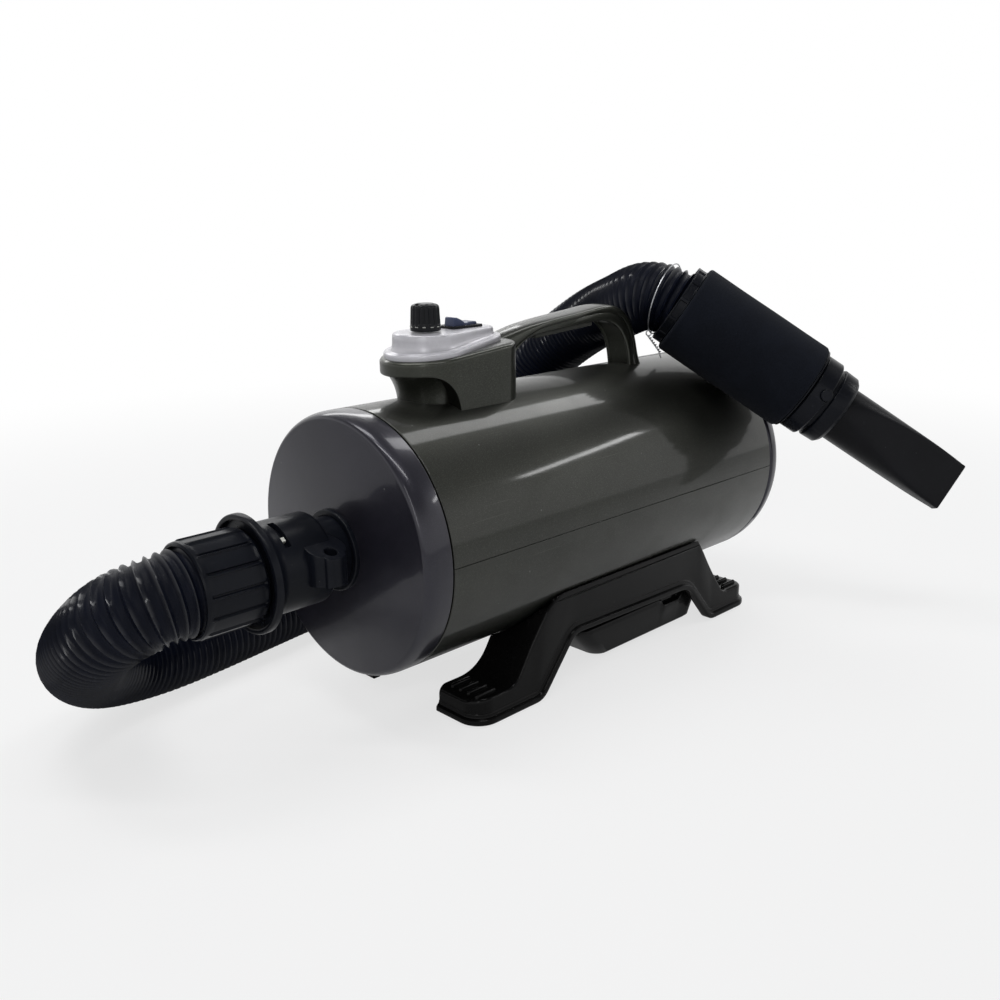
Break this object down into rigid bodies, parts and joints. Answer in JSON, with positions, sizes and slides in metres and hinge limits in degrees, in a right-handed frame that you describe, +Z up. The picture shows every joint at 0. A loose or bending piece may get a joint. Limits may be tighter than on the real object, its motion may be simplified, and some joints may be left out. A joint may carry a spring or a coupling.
{
  "type": "pet dryer",
  "caption": "Cylindrical pet grooming dryer on a cradle stand, with a top console and carry handle, a ribbed hose, and a foam-sleeved handset with a flat nozzle.",
  "frame": {"origin": "on the floor, midway between the four foot holes", "axes": "+X along the body towards the intake at the rear, +Z up, the outlet at -X"},
  "size_m": [0.7064, 0.459, 0.3264],
  "materials": {
    "shell": "glossy metallic charcoal lacquer",
    "cover": "glossy metallic lacquer, darker",
    "console": "satin metallic gunmetal lacquer",
    "panel": "satin silver lacquer",
    "grip": "fine textured gunmetal",
    "knob": "black, fluted",
    "switch": "black",
    "key": "smoked blue-grey",
    "fitting": "satin black",
    "latch": "pale grey",
    "hose": "black, flexible, ribbed",
    "foam": "black closed-cell foam",
    "nozzle": "satin black",
    "stand": "satin black",
    "rubber": "black",
    "filter": "open-cell foam",
    "liner": "sound-absorbing felt",
    "steel": "zinc-plated",
    "motor": "cast",
    "board": "green circuit board"
  },
  "bodies": {
    "dryer": {"upper_housing": "shell", "lower_housing": "shell", "front_cover": "cover", "rear_cover": "cover", "cover_screws": "steel", "control_pod": "console", "control_panel": "panel", "speed_pot": "motor", "rocker_switch": "switch", "control_board": "board", "carry_handle": "console", "grip_insert": "grip", "handle_screws": "steel", "outlet_spigot": "fitting", "outlet_collar": "fitting", "hose": "hose", "hose_end_ring": "fitting", "handset_tube": "fitting", "foam_sleeve": "foam", "cradle_stand": "stand", "under_pan": "stand", "saddle_liner": "rubber", "rubber_feet": "rubber", "stand_screws": "steel", "front_motor_frame": "motor", "rear_motor_frame": "motor", "motor_mounts": "rubber", "sound_liner": "liner", "motor_lead": "rubber", "cord_gland": "rubber"},
    "knob": {"speed_knob": "knob", "pot_shaft": "steel"},
    "rocker": {"rocker_key": "key"},
    "cuff": {"hose_cuff": "fitting", "cuff_latch": "latch"},
    "filter": {"filter_cover": "fitting", "intake_filter": "filter"},
    "adapter": {"adapter_ring": "fitting", "button_spring": "steel"},
    "nozzle": {"flat_nozzle": "nozzle"},
    "button": {"nozzle_button": "fitting"},
    "front_rotor": {"front_impeller": "motor"},
    "rear_rotor": {"rear_impeller": "motor"}
  },
  "joints": [
    {"name": "knob_turn", "type": "hinge", "parent": "dryer", "child": "knob", "pos_m": [-0.15, 0, 0.2885], "axis": [0, 0, 1], "range_deg": [0, 300]},
    {"name": "rocker_press", "type": "hinge", "parent": "dryer", "child": "rocker", "pos_m": [-0.112, 0.004, 0.2865], "axis": [0, -1, 0], "range_deg": [0, 24]},
    {"name": "cuff_twist", "type": "hinge", "parent": "dryer", "child": "cuff", "pos_m": [-0.3, 0, 0.14], "axis": [-1, 0, 0], "range_deg": [0, 22]},
    {"name": "filter_pull", "type": "slide", "parent": "dryer", "child": "filter", "axis": [1, 0, 0], "range_m": [0, 0.06]},
    {"name": "adapter_swivel", "type": "hinge", "parent": "dryer", "child": "adapter", "pos_m": [0.151, -0.08746, 0.25098], "axis": [0.475, -0.6912, -0.5446], "continuous": true},
    {"name": "nozzle_pull", "type": "slide", "parent": "adapter", "child": "nozzle", "axis": [0.475, -0.6912, -0.5446], "range_m": [0, 0.01]},
    {"name": "button_press", "type": "slide", "parent": "adapter", "child": "button", "axis": [0.7162, 0.6633, -0.2171], "range_m": [0, 0.002], "stiffness_N_per_m": 800, "springref_m": -0.001},
    {"name": "front_rotor_spin", "type": "hinge", "parent": "dryer", "child": "front_rotor", "pos_m": [-0.076, 0, 0.14], "axis": [1, 0, 0], "continuous": true},
    {"name": "rear_rotor_spin", "type": "hinge", "parent": "dryer", "child": "rear_rotor", "pos_m": [0.066, 0, 0.14], "axis": [1, 0, 0], "continuous": true}
  ]
}
